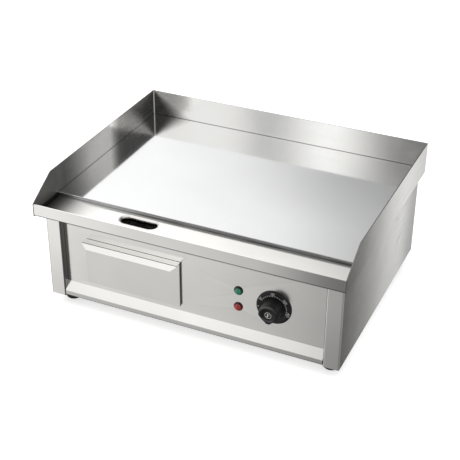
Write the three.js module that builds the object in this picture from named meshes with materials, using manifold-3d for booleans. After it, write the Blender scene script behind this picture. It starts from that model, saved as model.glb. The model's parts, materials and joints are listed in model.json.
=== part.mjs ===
// Counter-top electric griddle. Units are millimetres, +Z is up, +X is to the right and -Y is the front.
// The origin is on the ground, under the centre of the object's footprint.
import * as THREE from "three";
import { mergeVertices } from "three/addons/utils/BufferGeometryUtils.js";
import Module from "manifold-3d";

const wasm = await Module();
wasm.setup();

// ---------- driving dimensions ----------
const WIDTH = 550;
const DEPTH = 430;
const HEIGHT = 240;
const GAP = 0.3; // left between touching pieces

const GUARD_T = 1.5; // splash guard and gutter sheet
const SKIRT_BOTTOM = 182.5; // lower edge of the splash guards
const APRON_TOP = 205.5; // top edge of the gutter's front apron
const GUARD_SLOPE_START = -157; // where the side guards start to slope down to the apron

const PLATE_T = 8;
const PLATE_TOP = 191;
const PLATE_FRONT = -138.5;
const GUTTER_UNDERSIDE = 183.1;

const SLOT_CENTRE = { x: -104.5, y: -161.3 };
const SLOT_LENGTH = 64.5; // of the opening below its rounded lip
const SLOT_WIDTH = 21.5;
const SLOT_LIP_R = 4.5;
const SLOT_COLLAR_DEPTH = 7;

const BODY_HALF_WIDTH = 266;
const BODY_FRONT = -194;
const BODY_REAR = 211;
const BODY_BOTTOM = 20;
const BODY_TOP = 182.7;
const SHEET_T = 1.2; // body panels
const BEND_R = 1.8; // bend radius at the middle of the sheet
const FLANGE_W = 28; // front flange of a side panel
const REAR_FLANGE_W = 17.2;
const RETURN_END = -176; // how far back the front flange's return goes
const REAR_RETURN_END = 190;

const PANEL_FACE = -183; // front panel's front face
const PANEL_HALF_WIDTH = 237.7;
const PANEL_BEND_Z = 46.6; // where the panel turns forward into the ledge
const LEDGE_FRONT_Z = 31.2;
const LIP_BOTTOM_Z = 22;
const BACK_FACE = 196.2;

const DRAWER_LEFT = -195;
const DRAWER_RIGHT = -18;
const DRAWER_BOTTOM = 57;
const DRAWER_TOP = 142;
const DRAWER_FACE = -188;
const DRAWER_T = 1;
const HANDLE_EDGE = -197.5; // where the handle's top turns down into its flap
const HANDLE_FOOT = { y: -202.5, z: 132.8 };
const HANDLE_BEVEL = 11;
const TRAY_LEFT = -188.5;
const TRAY_RIGHT = -24.5;
const TRAY_BOTTOM = 63;
const TRAY_TOP = 135;
const TRAY_REAR = 22;

const KNOB = { x: 148.2, z: 101.8 };
const DIAL_R = 30;
const DIAL_FACE = -186.3;
const GRIP_FACE = -210.5;
const GRIP_FLAT = 14.6; // distance of the grip's two lower flats from its axis
const LAMP_X = 86;
const LAMP_Z = { green: 116.2, red: 85.2 };
const LAMP_R = 7.9;

const FOOT = { x: 242.5, frontY: -160.8, rearY: 165, height: 20, topR: 16, bottomR: 14 };
const SCREW_R = 3;

const TUBE_R = 4.2; // heating element tube
const TUBE_Z = 178.4;
const TUBE_FIRST_X = 42;
const TUBE_PITCH = 62;
const BAR_Y = [-70, 30, 125];
const STUD_X = 197;
const SHIELD = { wall: 256.8, rim: 264.4, z: 145.2, rimZ: 158, front: -130, rear: 172, bendR: 1.4 };
const BLANKET = { halfWidth: 255, front: -128, rear: 170, top: 163 };
const BAR = { halfLength: 250, halfWidth: 12.5, bottom: 170.5, thickness: 3.2 };
const GLAND = { x: 200, z: 60 };
const GLAND_HOLE_R = 10.3;
const KNOB_HOLE_R = 5.5;
const LAMP_HOLE_R = 5.2;
const LEAD = { r: 1.6, steps: 22, sides: 5 }; // insulated internal wire
const BACK_SCREW = { x: 238, lowZ: 45, highZ: 168 };
const VENT_END_FACETS = 2; // facets in a quarter of each round end

// ---------- materials ----------
function material(color, roughness, metalness) {
  return () => new THREE.MeshStandardMaterial({ color, roughness, metalness });
}
const brushedSteel = material(0xc9cac8, 0.3, 1);
const polishedSteel = material(0xe2e3e4, 0.1, 1);
const aluminisedSteel = material(0xa9abab, 0.5, 1);
const zincSteel = material(0xb4b6b2, 0.4, 1);
const elementSheath = material(0x4a4742, 0.5, 1);
const blackPlastic = material(0x151515, 0.4, 0);
const blackRubber = material(0x101010, 0.8, 0);
const greenLens = material(0x0f6b48, 0.15, 0);
const redLens = material(0xa8200f, 0.15, 0);
const whiteNylon = material(0xe6e2d8, 0.5, 0);
const mineralWool = material(0xd8cfae, 0.95, 0);
const copper = material(0xb87345, 0.35, 1);
const steatite = material(0xe9e4d6, 0.6, 0);
const brass = material(0xb99a4a, 0.35, 1);
const brownLead = material(0x5a3420, 0.6, 0);
const blueLead = material(0x2a4c8c, 0.6, 0);
const greenYellowLead = material(0x7f9a2c, 0.6, 0);

// ---------- closed meshes, cuts and joins ----------
function closed(geometry) {
  const bare = geometry.clone();
  bare.deleteAttribute("normal");
  bare.deleteAttribute("uv");
  const merged = mergeVertices(bare, 1e-4);
  const ids = Array.from(merged.index.array);
  const position = merged.attributes.position;
  const corner = [new THREE.Vector3(), new THREE.Vector3(), new THREE.Vector3()];
  const kept = [];
  let volume = 0;
  for (let i = 0; i < ids.length; i += 3) {
    const [a, b, c] = ids.slice(i, i + 3);
    if (a === b || b === c || c === a) continue;
    kept.push(a, b, c);
    [a, b, c].forEach((id, k) => corner[k].fromBufferAttribute(position, id));
    volume += corner[0].dot(corner[1].clone().cross(corner[2]));
  }
  if (volume < 0) {
    for (let i = 0; i < kept.length; i += 3) [kept[i], kept[i + 1]] = [kept[i + 1], kept[i]];
  }
  merged.setIndex(kept);
  return merged;
}

function solid(geometry) {
  const body = closed(geometry);
  return new wasm.Manifold(
    new wasm.Mesh({
      numProp: 3,
      vertProperties: new Float32Array(body.attributes.position.array),
      triVerts: new Uint32Array(body.index.array),
    }),
  );
}

function toGeometry(manifold) {
  const mesh = manifold.getMesh();
  const geometry = new THREE.BufferGeometry();
  geometry.setAttribute("position", new THREE.BufferAttribute(new Float32Array(mesh.vertProperties), 3));
  geometry.setIndex(Array.from(mesh.triVerts));
  return geometry;
}

function join(...geometries) {
  return toGeometry(geometries.map(solid).reduce((sum, next) => sum.add(next)));
}

function cut(geometry, ...tools) {
  return toGeometry(tools.map(solid).reduce((rest, tool) => rest.subtract(tool), solid(geometry)));
}

// ---------- basic shapes ----------
function box([x0, x1], [y0, y1], [z0, z1]) {
  const geometry = new THREE.BoxGeometry(x1 - x0, y1 - y0, z1 - z0);
  return geometry.translate((x0 + x1) / 2, (y0 + y1) / 2, (z0 + z1) / 2);
}

// Turns a shape drawn in its own XY plane into a solid between two stations of a world axis.
// The shape's two coordinates are (y, z) for axis x, (x, z) for axis y and (x, y) for axis z.
function extrude(shape, axis, from, to, curveSegments = 8) {
  const options = { depth: to - from, bevelEnabled: false, curveSegments };
  const geometry = new THREE.ExtrudeGeometry(shape, options);
  if (axis === "x") {
    const turn = new THREE.Matrix4().makeBasis(
      new THREE.Vector3(0, 1, 0),
      new THREE.Vector3(0, 0, 1),
      new THREE.Vector3(1, 0, 0),
    );
    return geometry.applyMatrix4(turn).translate(from, 0, 0);
  }
  if (axis === "y") return geometry.rotateX(Math.PI / 2).translate(0, to, 0);
  return geometry.translate(0, 0, from);
}

function polygon(points) {
  return new THREE.Shape(points.map(([a, b]) => new THREE.Vector2(a, b)));
}

function obround(cx, cy, length, width) {
  const r = width / 2;
  const half = length / 2 - r;
  const shape = new THREE.Shape();
  shape.absarc(cx + half, cy, r, -Math.PI / 2, Math.PI / 2);
  shape.absarc(cx - half, cy, r, Math.PI / 2, (3 * Math.PI) / 2);
  return shape;
}

// Section of a folded sheet: the middle line's corners are rounded, then offset by half the thickness each way.
function foldedSheet(middle, thickness, radius = BEND_R, stepsPerBend = 4) {
  const corners = middle.map(([a, b]) => new THREE.Vector2(a, b));
  const line = [];
  corners.forEach((corner, i) => {
    if (i === 0 || i === corners.length - 1) {
      line.push(corner);
      return;
    }
    const before = corners[i - 1].clone().sub(corner).normalize();
    const after = corners[i + 1].clone().sub(corner).normalize();
    const halfAngle = Math.acos(before.dot(after)) / 2;
    const inward = before.clone().add(after).normalize();
    const centre = corner.clone().addScaledVector(inward, radius / Math.sin(halfAngle));
    const start = corner.clone().addScaledVector(before, radius / Math.tan(halfAngle));
    const turn = Math.PI - 2 * halfAngle;
    const sign = Math.sign(after.cross(before));
    for (let k = 0; k <= stepsPerBend; k += 1) {
      line.push(start.clone().rotateAround(centre, (sign * turn * k) / stepsPerBend));
    }
  });
  const sides = line.map((point, i) => {
    const ahead = line[Math.min(i + 1, line.length - 1)].clone().sub(line[Math.min(i, line.length - 2)]);
    const behind = line[Math.max(i, 1)].clone().sub(line[Math.max(i - 1, 0)]);
    const n1 = new THREE.Vector2(-ahead.y, ahead.x).normalize();
    const n2 = new THREE.Vector2(-behind.y, behind.x).normalize();
    const normal = n1.clone().add(n2).normalize();
    const reach = thickness / 2 / normal.dot(n1);
    return [point.clone().addScaledVector(normal, reach), point.clone().addScaledVector(normal, -reach)];
  });
  return new THREE.Shape([...sides.map((pair) => pair[0]), ...sides.map((pair) => pair[1]).reverse()]);
}

// A turned piece about a line through (x, y or z): profile is [radius, station] pairs.
function turned(profile, axis, [a, b], segments = 24) {
  const points = profile.map(([r, station]) => new THREE.Vector2(r, station));
  const geometry = new THREE.LatheGeometry(points, segments);
  if (axis === "z") return geometry.rotateX(Math.PI / 2).translate(a, b, 0);
  return geometry.translate(a, 0, b); // axis y: (x, z) of the line
}

function rod(radius, axis, [a, b], from, to, segments = 24) {
  const profile = [
    [0, from],
    [radius, from],
    [radius, to],
    [0, to],
  ];
  return turned(profile, axis, [a, b], segments);
}

function hexagon(acrossFlats, cx, cy) {
  const r = acrossFlats / Math.sqrt(3);
  const points = Array.from({ length: 6 }, (_, i) => {
    const angle = (i * Math.PI) / 3;
    return [cx + r * Math.cos(angle), cy + r * Math.sin(angle)];
  });
  return polygon(points);
}

// A round wire or tube along a smooth curve through the points.
function tube(points, radius, steps, sides = 8) {
  const path = new THREE.CatmullRomCurve3(points.map((p) => new THREE.Vector3(...p)), false, "centripetal");
  const section = new THREE.Shape();
  for (let i = 0; i < sides; i += 1) {
    const angle = (2 * Math.PI * i) / sides;
    const place = [radius * Math.cos(angle), radius * Math.sin(angle)];
    if (i === 0) section.moveTo(...place);
    else section.lineTo(...place);
  }
  return new THREE.ExtrudeGeometry(section, { steps, extrudePath: path, curveSegments: 1 });
}

const griddle = new THREE.Group();

function add(name, geometry, makeMaterial) {
  const shape = closed(geometry).toNonIndexed();
  shape.computeVertexNormals();
  const mesh = new THREE.Mesh(shape, makeMaterial());
  mesh.name = name;
  griddle.add(mesh);
}

// ---------- body panels ----------
// A side panel is a C-shaped fold: a front flange with a return, the wide side, and a rear flange with a return.
// A lip along its top carries the cooking plate.
function sidePanel(side) {
  const middleX = BODY_HALF_WIDTH - SHEET_T / 2;
  const frontY = BODY_FRONT + SHEET_T / 2;
  const rearY = BODY_REAR - SHEET_T / 2;
  const frontReturnX = BODY_HALF_WIDTH - FLANGE_W + SHEET_T / 2;
  const rearReturnX = BODY_HALF_WIDTH - REAR_FLANGE_W + SHEET_T / 2;
  const section = [
    [frontReturnX, RETURN_END],
    [frontReturnX, frontY],
    [middleX, frontY],
    [middleX, rearY],
    [rearReturnX, rearY],
    [rearReturnX, REAR_RETURN_END],
  ].map(([x, y]) => [side * x, y]);
  const fold = extrude(foldedSheet(section, SHEET_T), "z", BODY_BOTTOM, BODY_TOP);
  const lipWidth = 15;
  const lipX = [side * (middleX - lipWidth), side * middleX].sort((a, b) => a - b);
  const lipY = [RETURN_END + 2, REAR_RETURN_END - 2];
  return join(fold, box(lipX, lipY, [BODY_TOP - SHEET_T, BODY_TOP]));
}

function footPlaces() {
  return [
    ["front_left", -FOOT.x, FOOT.frontY],
    ["front_right", FOOT.x, FOOT.frontY],
    ["rear_left", -FOOT.x, FOOT.rearY],
    ["rear_right", FOOT.x, FOOT.rearY],
  ];
}

// The base pan has turned-up edges, ventilation slots and four clinch nuts for the foot screws.
function basePan() {
  const low = BODY_BOTTOM + GAP;
  const sheet = [low, low + SHEET_T];
  const edge = BODY_HALF_WIDTH - SHEET_T - GAP;
  const front = RETURN_END + GAP;
  const rear = REAR_RETURN_END - GAP;
  const edgeTop = 35;
  const rearTongue = BODY_HALF_WIDTH - REAR_FLANGE_W - GAP;
  const backPanelInside = BACK_FACE - SHEET_T - GAP;
  const parts = [
    box([-edge, edge], [front, rear], sheet),
    box([-PANEL_HALF_WIDTH + 1, PANEL_HALF_WIDTH - 1], [PANEL_FACE + 2.5, front + 1], sheet),
    box([-edge, -edge + SHEET_T], [front, rear], [low, edgeTop]),
    box([edge - SHEET_T, edge], [front, rear], [low, edgeTop]),
    box([-rearTongue, rearTongue], [rear - 1, backPanelInside], sheet),
    box([-rearTongue, rearTongue], [backPanelInside - SHEET_T, backPanelInside], [low, edgeTop]),
  ];
  const nutTop = 26.8;
  const nutAcrossFlats = 10;
  for (const [, x, y] of footPlaces()) {
    parts.push(extrude(hexagon(nutAcrossFlats, x, y), "z", low, nutTop));
  }
  const cuts = footPlaces().map(([, x, y]) => rod(SCREW_R + GAP, "z", [x, y], low - 1, nutTop + 1, 16));
  const slotRows = 7;
  const slotPitch = 12;
  for (const groupX of [40, 130]) {
    for (let row = 0; row < slotRows; row += 1) {
      const slot = obround(groupX, 30 + row * slotPitch, 60, 3.5);
      cuts.push(extrude(slot, "z", low - 1, sheet[1] + 1, VENT_END_FACETS));
    }
  }
  return cut(join(...parts), ...cuts);
}

// The front panel stands back between the flanges, turns forward into a sloping ledge and ends in a lip.
function frontPanel() {
  const middleY = PANEL_FACE + SHEET_T / 2;
  const lipY = BODY_FRONT + SHEET_T / 2;
  const lipZ = LIP_BOTTOM_Z + SHEET_T / 2;
  const section = [
    [middleY, BODY_TOP - 0.3],
    [middleY, PANEL_BEND_Z],
    [lipY, LEDGE_FRONT_Z],
    [lipY, lipZ],
    [PANEL_FACE, lipZ],
  ];
  const sheet = extrude(foldedSheet(section, SHEET_T), "x", -PANEL_HALF_WIDTH, PANEL_HALF_WIDTH);
  const through = [PANEL_FACE - 1, PANEL_FACE + SHEET_T + 1];
  const trayClearance = 1.5;
  const drawerOpening = box(
    [TRAY_LEFT - trayClearance, TRAY_RIGHT + trayClearance],
    through,
    [TRAY_BOTTOM - 2, TRAY_TOP + 2.5],
  );
  return cut(
    sheet,
    drawerOpening,
    rod(KNOB_HOLE_R, "y", [KNOB.x, KNOB.z], ...through),
    rod(LAMP_HOLE_R, "y", [LAMP_X, LAMP_Z.green], ...through),
    rod(LAMP_HOLE_R, "y", [LAMP_X, LAMP_Z.red], ...through),
  );
}

function backScrewPlaces() {
  return [
    ["lower_left", -BACK_SCREW.x, BACK_SCREW.lowZ],
    ["lower_right", BACK_SCREW.x, BACK_SCREW.lowZ],
    ["upper_left", -BACK_SCREW.x, BACK_SCREW.highZ],
    ["upper_right", BACK_SCREW.x, BACK_SCREW.highZ],
  ];
}

function backPanel() {
  const half = BODY_HALF_WIDTH - REAR_FLANGE_W - GAP;
  const through = [BACK_FACE - SHEET_T - 1, BACK_FACE + 1];
  const sheet = box([-half, half], [BACK_FACE - SHEET_T, BACK_FACE], [LIP_BOTTOM_Z, BODY_TOP - 0.3]);
  const screwHoleR = 2.3;
  const cuts = backScrewPlaces().map(([, x, z]) => rod(screwHoleR, "y", [x, z], ...through, 12));
  cuts.push(rod(GLAND_HOLE_R, "y", [GLAND.x, GLAND.z], ...through));
  const slotsPerGroup = 8;
  const lowestSlotZ = 74;
  const slotPitch = 9;
  for (const groupX of [-150, 0]) {
    for (let i = 0; i < slotsPerGroup; i += 1) {
      const slot = obround(groupX, lowestSlotZ + i * slotPitch, 80, 3.6);
      cuts.push(extrude(slot, "y", ...through, VENT_END_FACETS));
    }
  }
  return cut(sheet, ...cuts);
}

function backScrew(x, z) {
  const headBack = BACK_FACE + GAP;
  const profile = [
    [0, BACK_FACE - 9],
    [1.9, BACK_FACE - 9],
    [1.9, headBack],
    [4, headBack],
    [3.6, headBack + 1.6],
    [2.2, headBack + 2.3],
    [0, headBack + 2.4],
  ];
  return turned(profile, "y", [x, z], 12);
}

// ---------- top: splash guards, gutter and cooking plate ----------
function sideGuard(side) {
  const outline = polygon([
    [-DEPTH / 2, SKIRT_BOTTOM],
    [DEPTH / 2, SKIRT_BOTTOM],
    [DEPTH / 2, HEIGHT],
    [GUARD_SLOPE_START, HEIGHT],
    [-DEPTH / 2, APRON_TOP],
  ]);
  const inside = WIDTH / 2 - GUARD_T;
  return side > 0 ? extrude(outline, "x", inside, WIDTH / 2) : extrude(outline, "x", -WIDTH / 2, -inside);
}

const INSIDE_HALF = WIDTH / 2 - GUARD_T - GAP; // half width of what fits between the side guards
const INSIDE_REAR = DEPTH / 2 - GUARD_T;

const GUTTER_TOP = GUTTER_UNDERSIDE + GUARD_T;

// An upright plug as wide as the slot at its foot, flaring along a quarter round that shares the lip's centre.
function flaredPlug(radius) {
  const { x, y } = SLOT_CENTRE;
  const steps = 3;
  const widenAt = (k) => SLOT_LIP_R - radius * Math.cos((k * Math.PI) / (2 * steps));
  const heightAt = (k) => GUTTER_TOP - SLOT_LIP_R + radius * Math.sin((k * Math.PI) / (2 * steps));
  const slices = [0, 1, 2].map((k) => {
    const outline = obround(x, y, SLOT_LENGTH + 2 * widenAt(k), SLOT_WIDTH + 2 * widenAt(k));
    const rise = heightAt(k + 1) - heightAt(k);
    const slice = new THREE.ExtrudeGeometry(outline, {
      depth: 0.5,
      bevelThickness: rise,
      bevelSize: widenAt(k + 1) - widenAt(k),
      bevelSegments: 1,
      curveSegments: 8,
    });
    return slice.translate(0, 0, heightAt(k + 1));
  });
  return join(...slices);
}

// The gutter's floor runs along the front of the plate and turns up into the apron.
// The drip slot's edge is drawn down: a rounded lip that ends in a short upright collar.
function greaseGutter() {
  const middleY = -DEPTH / 2 + GUARD_T / 2;
  const middleZ = GUTTER_UNDERSIDE + GUARD_T / 2;
  const section = [
    [PLATE_FRONT - GAP, middleZ],
    [middleY, middleZ],
    [middleY, APRON_TOP],
  ];
  const sheet = extrude(foldedSheet(section, GUARD_T, 2), "x", -INSIDE_HALF, INSIDE_HALF);
  const { x, y } = SLOT_CENTRE;
  const lipCentreZ = GUTTER_TOP - SLOT_LIP_R;
  const collarBottom = GUTTER_UNDERSIDE - SLOT_COLLAR_DEPTH;
  const collar = extrude(
    obround(x, y, SLOT_LENGTH + 2 * GUARD_T, SLOT_WIDTH + 2 * GUARD_T),
    "z",
    collarBottom,
    lipCentreZ + 1,
  );
  const slot = extrude(obround(x, y, SLOT_LENGTH, SLOT_WIDTH), "z", collarBottom - 1, lipCentreZ + 1);
  return cut(join(sheet, flaredPlug(SLOT_LIP_R - GUARD_T), collar), flaredPlug(SLOT_LIP_R), slot);
}

// The plate is a thick slab with a ground front edge. Six studs are welded under it.
function cookingPlate() {
  const chamfer = 0.8;
  const rear = INSIDE_REAR - GAP;
  const bottom = PLATE_TOP - PLATE_T;
  const outline = polygon([
    [PLATE_FRONT, bottom],
    [rear, bottom],
    [rear, PLATE_TOP],
    [PLATE_FRONT + chamfer, PLATE_TOP],
    [PLATE_FRONT, PLATE_TOP - chamfer],
  ]);
  const studEnd = 165.9;
  const studs = BAR_Y.flatMap((y) =>
    [-STUD_X, STUD_X].map((x) => rod(SCREW_R, "z", [x, y], studEnd, bottom + 1, 12)),
  );
  return join(extrude(outline, "x", -INSIDE_HALF, INSIDE_HALF), ...studs);
}

// ---------- heating ----------
// Each element is one tube with four runs from front to back, joined by half turns.
// Its ends are bent down at the rear.
function heatingElement(side) {
  const r = TUBE_PITCH / 2;
  const rearTurnY = 140;
  const frontTurnY = -85;
  const endY = 176;
  const bendR = 11;
  const endZ = 132;
  const runX = [0, 1, 2, 3].map((i) => TUBE_FIRST_X + i * TUBE_PITCH);
  const points = [];
  const place = (x, y, z = TUBE_Z) => points.push([side * x, y, z]);
  const halfTurn = (fromX, centreY, sign) => {
    for (let k = 0; k <= 6; k += 1) {
      const angle = (k * Math.PI) / 6;
      place(fromX + r - r * Math.cos(angle), centreY + sign * r * Math.sin(angle));
    }
  };
  const endBend = (x, order) => {
    const bend = [0, 1, 2, 3].map((k) => {
      const angle = (k * Math.PI) / 6;
      return [x, endY + bendR * Math.sin(angle), TUBE_Z - bendR + bendR * Math.cos(angle)];
    });
    const end = [[x, endY - bendR, TUBE_Z], [x, endY - bendR / 4, TUBE_Z], ...bend, [x, endY + bendR, endZ]];
    (order === "in" ? end.reverse() : end).forEach((p) => place(...p));
  };
  endBend(runX[0], "in");
  halfTurn(runX[0], frontTurnY, -1);
  halfTurn(runX[1], rearTurnY, 1);
  halfTurn(runX[2], frontTurnY, -1);
  endBend(runX[3], "out");
  return tube(points, TUBE_R, 76, 6);
}

function clampBar(y) {
  const top = BAR.bottom + BAR.thickness;
  const width = [y - BAR.halfWidth, y + BAR.halfWidth];
  const bar = box([-BAR.halfLength, BAR.halfLength], width, [BAR.bottom, top]);
  const through = [BAR.bottom - 1, top + 1];
  const holes = [-STUD_X, STUD_X].map((x) => rod(SCREW_R + 0.4, "z", [x, y], ...through, 12));
  return cut(bar, ...holes);
}

function clampNut(x, y) {
  const top = BAR.bottom - GAP;
  const nutHeight = 4.2;
  const body = extrude(hexagon(10, x, y), "z", top - nutHeight, top);
  return cut(body, rod(SCREW_R + GAP, "z", [x, y], top - 5, top + 1, 12));
}

function insulationBlanket() {
  const bottom = SHIELD.z + SHEET_T / 2 + GAP + 0.2;
  return box([-BLANKET.halfWidth, BLANKET.halfWidth], [BLANKET.front, BLANKET.rear], [bottom, BLANKET.top]);
}

// The heat shield is a shallow tray that hangs from the side panels by its turned-out rims.
function heatShield() {
  const { wall, rim, z, rimZ } = SHIELD;
  const section = [
    [-rim, rimZ],
    [-wall, rimZ],
    [-wall, z],
    [wall, z],
    [wall, rimZ],
    [rim, rimZ],
  ];
  return extrude(foldedSheet(section, SHEET_T, SHIELD.bendR), "y", SHIELD.front, SHIELD.rear);
}

function dripChute() {
  const { x, y } = SLOT_CENTRE;
  const clearance = 2;
  const halfX = SLOT_LENGTH / 2 + SLOT_LIP_R + clearance;
  const halfY = SLOT_WIDTH / 2 + SLOT_LIP_R + clearance;
  const wall = 1;
  const span = [142, GUTTER_UNDERSIDE - GAP];
  const outer = box([x - halfX - wall, x + halfX + wall], [y - halfY - wall, y + halfY + wall], span);
  const inner = box([x - halfX, x + halfX], [y - halfY, y + halfY], [span[0] - 1, span[1] + 1]);
  return cut(outer, inner);
}

// ---------- thermostat, knob and lamps ----------
function thermostatBody() {
  const { x, z } = KNOB;
  const front = -179.5;
  const back = -148;
  const halfWidth = 17;
  const halfHeight = 20;
  const block = box([x - halfWidth, x + halfWidth], [front, back], [z - halfHeight, z + halfHeight]);
  const bush = rod(5.1, "y", [x, z], PANEL_FACE - 0.1, front + 1.5, 20);
  const bore = rod(SCREW_R + GAP, "y", [x, z], PANEL_FACE - 1, front + 17.5, 20);
  const terminals = [-9, 9].map((dx) => box([x + dx - 3, x + dx + 3], [back - 1, back + 9], [z + 8, z + 8.8]));
  return cut(join(block, bush, ...terminals), bore);
}

function dialRing() {
  const profile = [
    [6, PANEL_FACE - GAP],
    [DIAL_R, PANEL_FACE - GAP],
    [DIAL_R, DIAL_FACE + 1.4],
    [DIAL_R - 1.6, DIAL_FACE + 0.2],
    [DIAL_R - 3, DIAL_FACE],
    [6, DIAL_FACE],
    [6, PANEL_FACE - GAP],
  ];
  return turned(profile, "y", [KNOB.x, KNOB.z], 40);
}

// The grip is a turned cup with a dished face and two lower flats. A nub at its foot points at the scale.
function knob() {
  const base = DIAL_FACE - 0.6;
  const profile = [
    [0, base],
    [19.4, base],
    [18.8, base - 2.2],
    [18.2, base - 5],
    [17.6, base - 14],
    [17.2, GRIP_FACE + 3.2],
    [16.4, GRIP_FACE + 1.2],
    [14.6, GRIP_FACE],
    [11.4, GRIP_FACE + 0.3],
    [9.6, GRIP_FACE + 1.5],
    [0, GRIP_FACE + 2.2],
  ];
  const flatHalfAngle = Math.PI / 4.14;
  const flats = [-1, 1].map((side) => {
    const slab = box([-20, 20], [GRIP_FACE - 1, base - 5], [-GRIP_FLAT - 10, -GRIP_FLAT]);
    return slab.rotateY(-side * flatHalfAngle).translate(KNOB.x, 0, KNOB.z);
  });
  const grip = cut(turned(profile, "y", [KNOB.x, KNOB.z], 36), ...flats);
  const nub = polygon([
    [KNOB.x - 4, KNOB.z - 15],
    [KNOB.x - 1.6, KNOB.z - 20.6],
    [KNOB.x + 1.6, KNOB.z - 20.6],
    [KNOB.x + 4, KNOB.z - 15],
  ]);
  const bore = rod(SCREW_R + GAP, "y", [KNOB.x, KNOB.z], GRIP_FACE + 7, base + 1, 20);
  return cut(join(grip, extrude(nub, "y", base - 8, base)), bore);
}

function spindle() {
  return rod(SCREW_R, "y", [KNOB.x, KNOB.z], GRIP_FACE + 7.5, -163, 20);
}

function lampLens(z) {
  const back = PANEL_FACE - GAP;
  const profile = [
    [0, PANEL_FACE + 6],
    [4.8, PANEL_FACE + 6],
    [4.8, back],
    [LAMP_R, back],
    [LAMP_R, back - 1.2],
    [6.9, back - 2.6],
    [5, back - 4.2],
    [2.6, back - 5.1],
    [0, back - 5.4],
  ];
  return turned(profile, "y", [LAMP_X, z], 20);
}

function lampBody(z) {
  const front = PANEL_FACE + SHEET_T + GAP;
  const shell = rod(6.8, "y", [LAMP_X, z], front, front + 26, 20);
  const bore = rod(5.1, "y", [LAMP_X, z], front - 1, front + 22, 20);
  const tabs = [-3.5, 3.5].map((dx) => {
    const tabX = [LAMP_X + dx - 0.4, LAMP_X + dx + 0.4];
    return box(tabX, [front + 25, front + 34], [z - 2.4, z + 2.4]);
  });
  return cut(join(shell, ...tabs), bore);
}

// The sensing bulb lies under the plate between two element runs. Its capillary comes forward, then down.
function sensingBulb() {
  return rod(3, "y", [135, 179.2], -60, 40, 16);
}

function bulbClip() {
  const section = [
    [129.2, 182.1],
    [131, 182.1],
    [131, 175.2],
    [139, 175.2],
    [139, 182.1],
    [140.8, 182.1],
  ];
  return extrude(foldedSheet(section, 0.8, 0.7, 3), "y", -22, -10);
}

function capillaryTube() {
  const points = [
    [135, -60.4, 179.2],
    [135, -90, 179.2],
    [135, -126, 178],
    [136, -134.5, 170],
    [138, -136, 150],
    [142, -142, 135],
    [147, -154, 130],
    [148, -157, 126],
    [148, -157, 122.3],
  ];
  return tube(points, 1, 24, 5);
}

// ---------- grease drawer ----------
// The front is a shallow pan, open at the back. Its top runs forward into a ledge, then slopes down and forward
// as the handle flap, whose two ends are cut off at an angle.
function drawerFront() {
  const back = PANEL_FACE - 0.8;
  const faceSheet = [DRAWER_FACE, DRAWER_FACE + DRAWER_T];
  const width = [DRAWER_LEFT, DRAWER_RIGHT];
  const topSheet = [DRAWER_TOP - DRAWER_T, DRAWER_TOP];
  const face = box(width, faceSheet, [DRAWER_BOTTOM, DRAWER_TOP]);
  const height = [DRAWER_BOTTOM, DRAWER_TOP];
  const leftEdge = box([DRAWER_LEFT, DRAWER_LEFT + DRAWER_T], [DRAWER_FACE, back], height);
  const rightEdge = box([DRAWER_RIGHT - DRAWER_T, DRAWER_RIGHT], [DRAWER_FACE, back], height);
  const bottomEdge = box(width, [DRAWER_FACE, back], [DRAWER_BOTTOM, DRAWER_BOTTOM + DRAWER_T]);
  const middleZ = DRAWER_TOP - DRAWER_T / 2;
  const handleSection = [
    [back, middleZ],
    [HANDLE_EDGE + DRAWER_T / 2, middleZ],
    [HANDLE_FOOT.y, HANDLE_FOOT.z],
  ];
  const handle = extrude(foldedSheet(handleSection, DRAWER_T, 1.5), "x", ...width);
  const flapLow = HANDLE_FOOT.z - 2;
  const flapHigh = DRAWER_TOP - DRAWER_T - 0.3;
  const bevels = [
    [DRAWER_LEFT, 1],
    [DRAWER_RIGHT, -1],
  ].map(([end, inward]) => {
    const corner = polygon([
      [end - inward, flapLow],
      [end + inward * (HANDLE_BEVEL + 1), flapLow],
      [end, flapHigh],
      [end - inward, flapHigh],
    ]);
    return extrude(corner, "y", HANDLE_FOOT.y - 2, DRAWER_FACE - 1);
  });
  const shell = join(face, leftEdge, rightEdge, bottomEdge, box(width, [DRAWER_FACE, back], topSheet));
  return join(shell, cut(handle, ...bevels));
}

function drawerTray() {
  const front = DRAWER_FACE + DRAWER_T + GAP;
  const outer = box([TRAY_LEFT, TRAY_RIGHT], [front, TRAY_REAR], [TRAY_BOTTOM, TRAY_TOP]);
  const inner = box(
    [TRAY_LEFT + DRAWER_T, TRAY_RIGHT - DRAWER_T],
    [front + DRAWER_T, TRAY_REAR - DRAWER_T],
    [TRAY_BOTTOM + DRAWER_T, TRAY_TOP + 1],
  );
  return cut(outer, inner);
}

function drawerRail(side) {
  const webX = side > 0 ? TRAY_RIGHT + 1.5 : TRAY_LEFT - 1.5;
  const shelfZ = TRAY_BOTTOM - GAP - 0.5;
  const section = [
    [webX, 100],
    [webX, shelfZ],
    [webX - side * 16, shelfZ],
  ];
  return extrude(foldedSheet(section, 1, 1), "y", PANEL_FACE + SHEET_T + GAP, TRAY_REAR + 2);
}

function railBracket() {
  const y = TRAY_REAR + 3.5;
  const floorZ = BODY_BOTTOM + GAP + SHEET_T + GAP;
  const section = [
    [y, 100],
    [y, floorZ + SHEET_T / 2],
    [y + 18, floorZ + SHEET_T / 2],
  ];
  return extrude(foldedSheet(section, SHEET_T), "x", TRAY_LEFT - 8, TRAY_RIGHT + 8);
}

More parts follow.
